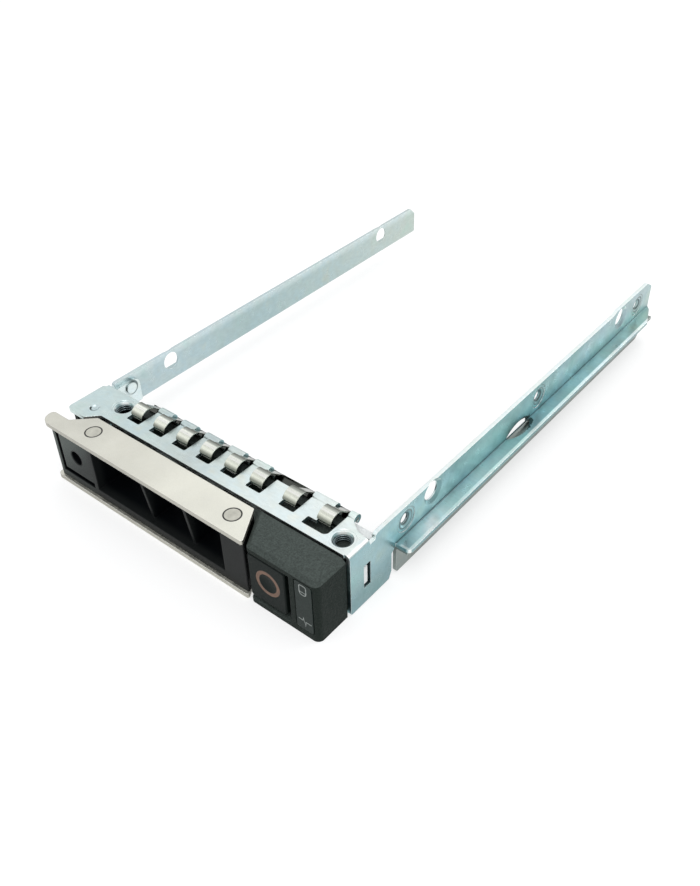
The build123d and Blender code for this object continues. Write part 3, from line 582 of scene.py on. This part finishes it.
def insert_plastic():
    """Black of the handle insert, paler on its panel, with painted shade in its recess and deep
    painted shade in the ducts.
    """
    finish = moulded("black_insert", (0.006, 0.007, 0.007), 0.5, 0.12, 0.25, 0.13)
    colour = finish.colour_so_far()
    face = finish.between(finish.y, -61.98, -61.9, 1.0, 0.0)
    panel = finish.between(finish.x, -25.5, -22.0, 1.0, 0.0)
    across = finish.maths("SUBTRACT", finish.z, finish.x)
    tone = finish.ramp(finish.between(across, 32.0, 45.0), [
        (0.0, (0.022, 0.026, 0.025)),
        (0.4, (0.045, 0.054, 0.051)),
        (1.0, (0.085, 0.100, 0.092)),
    ])
    colour = finish.mix(finish.times(face, panel), colour, tone)
    # Painted shade: a dark ring just inside the rim of the recess.
    place = drawn(RECESS[0], 0, RECESS[1]) / MM
    rim = finish.ring(finish.away((finish.x, finish.z), (place.x, place.z)), 1.72, 0.1)
    colour = finish.mix(finish.times(rim, 0.9), colour, (0.004, 0.005, 0.005))
    # Painted shade: deep black in the groove and the ducts.
    groove = finish.times(finish.between(finish.y, -61.95, -61.7), panel)
    deep = finish.between(finish.y, -61.3, -59.5)
    dark = finish.maths("MAXIMUM", groove, deep)
    finish.feed("Base Color", finish.mix(dark, colour, (0.0005, 0.001, 0.002)))
    return finish.material


def button_plastic():
    """Charcoal of the release button."""
    return moulded("charcoal_button", (0.004, 0.007, 0.006), 0.52, 0.10, 0.25, 0.10).material


def latch_plastic():
    """Plain black of the hidden latch lever."""
    return moulded("black_latch", (0.018, 0.018, 0.019), 0.5, 0.12, 0.2).material


def copper_paint():
    """Muted copper of the ring in the button."""
    finish = Finish("muted_copper", (0.20, 0.10, 0.06), 0.2, 0.5)
    tone = finish.ramp(finish.noise(0.5, 3.0), [
        (0.3, (0.105, 0.052, 0.028)),
        (0.7, (0.165, 0.083, 0.047)),
    ])
    finish.feed("Base Color", tone)
    finish.patchy_roughness(finish.noise(0.3), 0.38, 0.52)
    finish.feed("Normal", finish.bump(finish.noise(0.08), 0.15, 0.02))
    return finish.material


def smoked_window():
    """Dark smoked window with a faint texture."""
    finish = Finish("smoked_window", (0.020, 0.026, 0.024), 0.0, 0.3)
    tone = finish.ramp(finish.noise(1.5, 3.0), [
        (0.3, (0.006, 0.014, 0.011)),
        (0.7, (0.010, 0.019, 0.016)),
    ])
    finish.feed("Base Color", tone)
    finish.patchy_roughness(finish.noise(0.4), 0.26, 0.38)
    finish.feed("Normal", finish.bump(finish.noise(0.1), 0.12, 0.02, finish.soft_edges(0.12)))
    finish.socket("Specular IOR Level", 0.12)
    return finish.material


def clear_guide():
    """Milky clear plastic of the light guides."""
    finish = Finish("clear_guide", (0.75, 0.78, 0.78), 0.0, 0.2)
    finish.feed("Base Color", finish.ramp(finish.noise(1.5), [
        (0.3, (0.68, 0.72, 0.72)),
        (0.7, (0.80, 0.82, 0.82)),
    ]))
    finish.patchy_roughness(finish.noise(0.6), 0.15, 0.3)
    finish.feed("Normal", finish.bump(finish.noise(0.3), 0.1, 0.02, finish.soft_edges(0.1)))
    finish.socket("Transmission Weight", 0.3)
    return finish.material


def turned_steel(name, colour, roughness):
    """Bright turned or drawn steel of pins, rivets and coil springs."""
    finish = Finish(name, colour, 1.0, roughness)
    soft = finish.soft_edges(0.08)
    # Lighter edges: painted edge highlight, partly wear.
    brighter = tuple(min(part * 1.3, 0.95) for part in colour)
    tone = finish.mix(finish.edge_mask(soft), colour, brighter)
    blotch = finish.ramp(finish.noise(0.9, 4.0), [(0.3, 0.88), (0.7, 1.08)])
    finish.feed("Base Color", finish.mix(1.0, tone, blotch, "MULTIPLY"))
    finish.patchy_roughness(finish.noise(0.4), roughness - 0.06, roughness + 0.08)
    finish.feed("Normal", finish.bump(finish.noise(0.1), 0.15, 0.015, soft))
    return finish


def rivet_steel():
    """Satin steel of the handle rivets, outlined by the dark line of their seats as painted shade
    in the joint.
    """
    finish = turned_steel("satin_rivet", (0.60, 0.59, 0.52), 0.4)
    colour = finish.colour_so_far()
    # Dark seat line: painted shade in the joint round each rivet.
    for x, y in RIVETS:
        colour = finish.mix(finish.seat_ring(x, y, 1.64, 0.12), colour, (0.05, 0.05, 0.05))
    finish.feed("Base Color", colour)
    return finish.material


def dished_pin():
    """Pale steel of the hinge pin, with painted shade along the front of its dish."""
    finish = turned_steel("pale_pin", (0.58, 0.68, 0.69), 0.3)
    colour = finish.colour_so_far()
    middle = drawn(0, HINGE[1], 0).y / MM
    front = finish.between(finish.y, middle + 0.1, middle - 0.3)
    # Painted shade on the front of the dish.
    line = finish.times(finish.seat_ring(*HINGE, 0.85, 0.16), front)
    finish.feed("Base Color", finish.mix(line, colour, (0.04, 0.05, 0.05)))
    return finish.material


def printed_symbol():
    """Pale grey ink of the two symbols."""
    finish = Finish("pale_ink", (0.32, 0.34, 0.33), 0.0, 0.6)
    finish.feed("Base Color", finish.ramp(finish.noise(0.4, 4.0), [
        (0.3, (0.19, 0.21, 0.20)),
        (0.7, (0.27, 0.29, 0.28)),
    ]))
    finish.patchy_roughness(finish.noise(0.3), 0.52, 0.68)
    finish.feed("Normal", finish.bump(finish.noise(0.08), 0.1, 0.01))
    return finish.material


# Pieces that are added to the solids

def piece_from(name, mesh_maker, material):
    """Object from a function that fills a mesh, with its normals outward."""
    shape = bmesh.new()
    mesh_maker(shape)
    bmesh.ops.remove_doubles(shape, verts=shape.verts, dist=1e-7)
    bmesh.ops.recalc_face_normals(shape, faces=shape.faces)
    mesh = bpy.data.meshes.new(name)
    shape.to_mesh(mesh)
    shape.free()
    mesh.materials.append(material)
    return add_object(name, mesh)


def line_mesh(shape, points, width, closed=False):
    """Printed line on the front face that follows points given as (x, z) in millimetres."""
    count = len(points)
    sides = []
    for index, point in enumerate(points):
        here = Vector(point)
        before = Vector(points[index - 1]) if index or closed else None
        after = Vector(points[(index + 1) % count]) if index < count - 1 or closed else None
        runs = [(here - before).normalized() if before is not None else None,
                (after - here).normalized() if after is not None else None]
        runs = [run for run in runs if run is not None]
        turns = [Vector((-run.y, run.x)) for run in runs]
        middle = (sum(turns, Vector((0, 0)))).normalized()
        reach = width / 2 / max(middle.dot(turns[0]), 0.4)
        sides.append((here + middle * reach, here - middle * reach))
    rows = []
    for left, right in sides:
        rows.append([
            shape.verts.new(drawn(left.x, FACE_Y, left.y)),
            shape.verts.new(drawn(left.x, FACE_Y - INK_DEPTH, left.y)),
            shape.verts.new(drawn(right.x, FACE_Y - INK_DEPTH, right.y)),
            shape.verts.new(drawn(right.x, FACE_Y, right.y)),
        ])
    pairs = list(zip(rows, rows[1:])) + ([(rows[-1], rows[0])] if closed else [])
    for here, after in pairs:
        for side in range(4):
            shape.faces.new((here[side], here[(side + 1) % 4], after[(side + 1) % 4], after[side]))
    if not closed:
        shape.faces.new(rows[0])
        shape.faces.new(rows[-1])


def rounded_outline(centre_x, centre_z, width, height, radii):
    """Corner points of a rounded outline; the radii run from the lower left corner round."""
    corners = [(-1, -1, 180), (1, -1, 270), (1, 1, 0), (-1, 1, 90)]
    points = []
    for (side_x, side_z, start), radius in zip(corners, radii):
        x = centre_x + side_x * (width / 2 - radius)
        z = centre_z + side_z * (height / 2 - radius)
        for step in range(CORNER_STEPS + 1):
            angle = math.radians(start + 90 * step / CORNER_STEPS)
            points.append((x + radius * math.cos(angle), z + radius * math.sin(angle)))
    return points


def drive_symbol(shape):
    """Rounded drive outline with a line across its lower part."""
    outline = rounded_outline(32.3, -3.28, 1.5, 2.25, (0.65, 0.65, 0.4, 0.4))
    line_mesh(shape, outline, 0.2, closed=True)
    line_mesh(shape, [(31.65, -3.75), (32.95, -3.75)], 0.16)


def pulse_symbol(shape):
    """Line with a single pulse."""
    line_mesh(shape, [
        (30.95, -10.85),
        (31.95, -10.95),
        (32.1, -10.2),
        (32.5, -12.1),
        (32.62, -11.05),
        (33.85, -11.05),
    ], 0.18)


def new_tree(name, sizes):
    """Empty geometry tree with named inputs for its sizes."""
    tree = bpy.data.node_groups.new(name, "GeometryNodeTree")
    tree.interface.new_socket("Geometry", in_out="OUTPUT", socket_type="NodeSocketGeometry")
    for size in sizes:
        tree.interface.new_socket(size, in_out="INPUT", socket_type="NodeSocketFloat")
    return tree


def baked(name, tree, sizes, material):
    """Plain mesh object made by a geometry tree with its named sizes set."""
    holder = add_object(name + "_tree", bpy.data.meshes.new(name + "_tree"))
    modifier = holder.modifiers.new("made", "NODES")
    modifier.node_group = tree
    for item in tree.interface.items_tree:
        if item.in_out == "INPUT":
            modifier[item.identifier] = float(sizes[item.name])
    graph = bpy.context.evaluated_depsgraph_get()
    mesh = bpy.data.meshes.new_from_object(holder.evaluated_get(graph))
    mesh.name = name
    holder.modifiers.remove(modifier)
    bpy.data.objects.remove(holder)
    if not mesh.materials:
        mesh.materials.append(material)
    return add_object(name, mesh)


def thread_tree(material):
    """Geometry tree that winds one screw thread in each of two collars."""
    tree = new_tree("collar_thread", (
        "Turns", "Height", "Bore Radius", "Ridge",
        "Start X", "Start Y", "Start Z", "Step X", "Step Y",
    ))
    node = tree.nodes.new
    given = node("NodeGroupInput").outputs
    join = tree.links.new
    spiral = node("GeometryNodeCurveSpiral")
    spiral.inputs["Resolution"].default_value = 28
    join(given["Turns"], spiral.inputs["Rotations"])
    join(given["Bore Radius"], spiral.inputs["Start Radius"])
    join(given["Bore Radius"], spiral.inputs["End Radius"])
    join(given["Height"], spiral.inputs["Height"])
    profile = node("GeometryNodeCurvePrimitiveCircle")
    profile.inputs["Resolution"].default_value = 4
    join(given["Ridge"], profile.inputs["Radius"])
    sweep = node("GeometryNodeCurveToMesh")
    sweep.inputs["Fill Caps"].default_value = True
    join(spiral.outputs["Curve"], sweep.inputs["Curve"])
    join(profile.outputs["Curve"], sweep.inputs["Profile Curve"])
    start = node("ShaderNodeCombineXYZ")
    for axis in "XYZ":
        join(given["Start " + axis], start.inputs[axis])
    step = node("ShaderNodeCombineXYZ")
    for axis in "XY":
        join(given["Step " + axis], step.inputs[axis])
    collars = node("GeometryNodeMeshLine")
    collars.mode = "OFFSET"
    collars.inputs["Count"].default_value = 2
    join(start.outputs["Vector"], collars.inputs["Start Location"])
    join(step.outputs["Vector"], collars.inputs["Offset"])
    copies = node("GeometryNodeInstanceOnPoints")
    join(collars.outputs["Mesh"], copies.inputs["Points"])
    join(sweep.outputs["Mesh"], copies.inputs["Instance"])
    real = node("GeometryNodeRealizeInstances")
    join(copies.outputs["Instances"], real.inputs["Geometry"])
    paint = node("GeometryNodeSetMaterial")
    paint.inputs["Material"].default_value = material
    join(real.outputs["Geometry"], paint.inputs["Geometry"])
    join(paint.outputs["Geometry"], node("NodeGroupOutput").inputs["Geometry"])
    return tree


def collar_threads(material):
    """Thread turns inside the two collars of the top plate."""
    start = drawn(*LEFT_COLLAR, -COLLAR_DEPTH + 0.15)
    step = drawn(*RIGHT_COLLAR, 0) - drawn(*LEFT_COLLAR, 0)
    return baked("collar_threads", thread_tree(material), {
        "Turns": 3.4,
        "Height": 1.6 * MM,
        "Bore Radius": (COLLAR_BORE / 2 - 0.02) * MM,
        "Ridge": 0.16 * MM,
        "Start X": start.x,
        "Start Y": start.y,
        "Start Z": start.z,
        "Step X": step.x,
        "Step Y": step.y,
    }, material)


# The scene round the caddy

def studio_floor():
    """Large pale floor under the caddy, lit by its own glow so that shadows stay faint."""
    finish = Finish("pale_floor", (0.42, 0.42, 0.42), 0.0, 0.8)
    finish.feed("Base Color", finish.ramp(finish.noise(60.0), [(0.3, 0.415), (0.7, 0.425)]))
    finish.socket("Emission Color", (1.0, 1.0, 1.0, 1.0))
    finish.socket("Emission Strength", 0.58)
    shape = bmesh.new()
    bmesh.ops.create_grid(shape, x_segments=1, y_segments=1, size=3.0)
    mesh = bpy.data.meshes.new("studio_floor")
    shape.to_mesh(mesh)
    shape.free()
    mesh.materials.append(finish.material)
    floor = add_object("studio_floor", mesh)
    floor.location = (0, 0, -0.00005)


def soft_light(name, place, size, power):
    """Square soft light at a place, turned to the middle of the floor."""
    data = bpy.data.lights.new(name, "AREA")
    data.shape = "SQUARE"
    data.size = size
    data.energy = power
    light = add_object(name, data)
    light.location = place
    light.rotation_euler = (-Vector(place)).to_track_quat("-Z", "Y").to_euler()


def studio():
    """Pale surroundings and two soft lights."""
    world = bpy.data.worlds.new("studio")
    bpy.context.scene.world = world
    world.use_nodes = True
    nodes = world.node_tree.nodes
    join = world.node_tree.links.new
    sky = nodes["Background"]
    sky.inputs["Strength"].default_value = 1.08
    way = nodes.new("ShaderNodeTexCoord")
    apart = nodes.new("ShaderNodeSeparateXYZ")
    shade = nodes.new("ShaderNodeValToRGB")
    stops = ((0.0, 0.40), (0.25, 0.62), (0.42, 0.95), (0.55, 1.02), (0.68, 0.98),
             (0.76, 0.70), (0.88, 0.74), (0.95, 1.25), (1.0, 1.35))
    tinted = [(place, (grey * 0.98, grey * 0.99, grey)) for place, grey in stops]
    set_stops(shade.color_ramp, tinted)
    join(way.outputs["Generated"], apart.inputs["Vector"])
    join(apart.outputs["Z"], shade.inputs["Fac"])
    join(shade.outputs["Color"], sky.inputs["Color"])
    bpy.context.scene.view_settings.view_transform = "Standard"
    soft_light("key", (0.20, -0.30, 0.60), 0.30, 1.1)
    soft_light("back", (0.30, 0.55, 0.45), 0.40, 1.0)


def photo_camera():
    """Camera at the place, angle and framing of the photograph."""
    turn = math.radians(TURN)
    tilt = math.radians(TILT)
    roll = math.radians(ROLL)
    reach = math.cos(tilt)
    ahead = Vector((-math.sin(turn) * reach, math.cos(turn) * reach, -math.sin(tilt)))
    level = Vector((math.cos(turn), math.sin(turn), 0))
    above = level.cross(ahead)
    right = level * math.cos(roll) + above * math.sin(roll)
    up = above * math.cos(roll) - level * math.sin(roll)
    data = bpy.data.cameras.new("photo_camera")
    data.sensor_width = SENSOR
    data.lens = FOCAL_LENGTH / PHOTO_HEIGHT * SENSOR
    data.shift_x = CENTRE_OFF[0] / PHOTO_HEIGHT
    data.shift_y = CENTRE_OFF[1] / PHOTO_HEIGHT
    data.clip_start = 0.01
    data.clip_end = 20.0
    camera = add_object("photo_camera", data)
    turned = Matrix((right, up, -ahead)).transposed().to_4x4()
    camera.matrix_world = Matrix.Translation(EYE) @ turned
    bpy.context.scene.camera = camera


def dress(finishes):
    """Give every solid of the model its finish."""
    for name, material in finishes.items():
        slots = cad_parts[name].data.materials
        slots.clear()
        slots.append(material)


handle_finish = handle_steel()
# Thread steel kept dark as painted shade inside the collars.
thread_finish = turned_steel("thread_in_painted_shade", (0.17, 0.21, 0.22), 0.25).material
coil_finish = turned_steel("spring_wire", (0.42, 0.42, 0.41), 0.35).material
guide_finish = clear_guide()
floor_finish = floor_zinc()
dress({
    "frame_sheet": cage_zinc(),
    "left_rail": rail_zinc(),
    "cage_floor": floor_finish,
    "rail_rivet": floor_finish,
    "right_lower_guide": guide_zinc(),
    "spring_strip": sprung_nickel(),
    "front_housing": housing_plastic(),
    "indicator_window": smoked_window(),
    "upper_light_guide": guide_finish,
    "lower_light_guide": guide_finish,
    "release_button": button_plastic(),
    "button_ring": copper_paint(),
    "button_spring": coil_finish,
    "latch_lever": latch_plastic(),
    "latch_pin": coil_finish,
    "handle_top_plate": handle_finish,
    "handle_bottom_plate": handle_finish,
    "handle_insert": insert_plastic(),
    "handle_rivets": rivet_steel(),
    "recess_screw": turned_steel("dark_screw", (0.035, 0.037, 0.037), 0.2).material,
    "pivot_pin": dished_pin(),
    "handle_spring": coil_finish,
})

ink = printed_symbol()
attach(piece_from("drive_symbol", drive_symbol, ink), "caddy")
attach(piece_from("pulse_symbol", pulse_symbol, ink), "caddy")
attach(collar_threads(thread_finish), "caddy")

studio_floor()
studio()
photo_camera()
